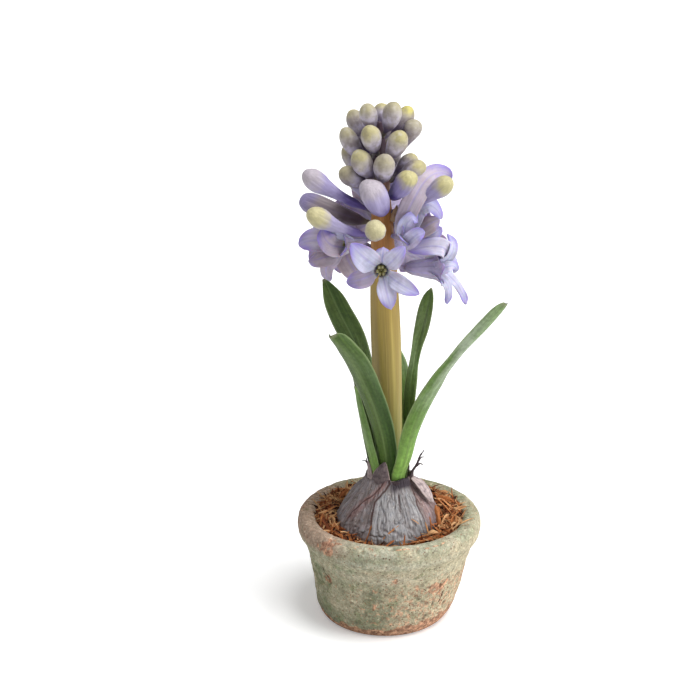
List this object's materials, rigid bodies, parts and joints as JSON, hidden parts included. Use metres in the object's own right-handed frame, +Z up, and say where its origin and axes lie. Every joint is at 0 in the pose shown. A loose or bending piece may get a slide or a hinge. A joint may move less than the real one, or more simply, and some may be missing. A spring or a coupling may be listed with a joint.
{
  "type": "potted hyacinth flower with bulb",
  "caption": "Forced hyacinth in a small clay pot: half-sunk bulb, strap leaves, and one thick stem with a head of buds and open florets.",
  "frame": {"origin": "on the standing surface, under the middle of the pot's rim", "axes": "+Z up along the stem, -Y towards the viewer's side with the star-shaped front floret, +X to the right"},
  "size_m": [0.1121, 0.1395, 0.3063],
  "materials": {
    "clay": "matte",
    "soil": "matte",
    "coir": "matte",
    "bulb_coat": "matte",
    "tunic": "matte",
    "stem": "satin",
    "leaf": "satin",
    "bud": "satin",
    "long_bud": "satin",
    "petal": "satin",
    "stamens": "matte"
  },
  "bodies": {
    "root": {"pot": "clay", "potting_soil": "soil", "coir_mulch": "coir", "bulb": "bulb_coat", "tunic_flap_right": "tunic", "tunic_scale_front": "tunic", "stem": "stem", "leaf_front_right": "leaf", "leaf_front_left": "leaf", "leaf_back_left": "leaf", "leaf_back_right": "leaf", "leaf_left": "leaf", "leaf_back": "leaf", "bud_1": "bud", "bud_2": "bud", "bud_3": "bud", "bud_4": "bud", "bud_5": "bud", "bud_6": "bud", "bud_7": "bud", "bud_8": "bud", "bud_9": "bud", "bud_10": "bud", "bud_11": "bud", "bud_12": "bud", "bud_13": "bud", "bud_14": "bud", "bud_15": "bud", "bud_16": "bud", "bud_17": "bud", "bud_18": "bud", "bud_19": "bud", "bud_20": "bud", "long_bud_1": "long_bud", "long_bud_2": "long_bud", "long_bud_3": "long_bud", "long_bud_4": "long_bud", "long_bud_5": "long_bud", "long_bud_6": "long_bud", "long_bud_7": "long_bud", "long_bud_8": "long_bud", "long_bud_9": "long_bud", "floret_1": "petal", "floret_2": "petal", "floret_3": "petal", "floret_4": "petal", "floret_5": "petal", "floret_6": "petal", "floret_7": "petal", "floret_8": "petal", "stamens_1": "stamens", "stamens_2": "stamens", "stamens_3": "stamens", "stamens_4": "stamens", "stamens_5": "stamens", "stamens_6": "stamens", "stamens_7": "stamens", "stamens_8": "stamens"}
  },
  "joints": []
}
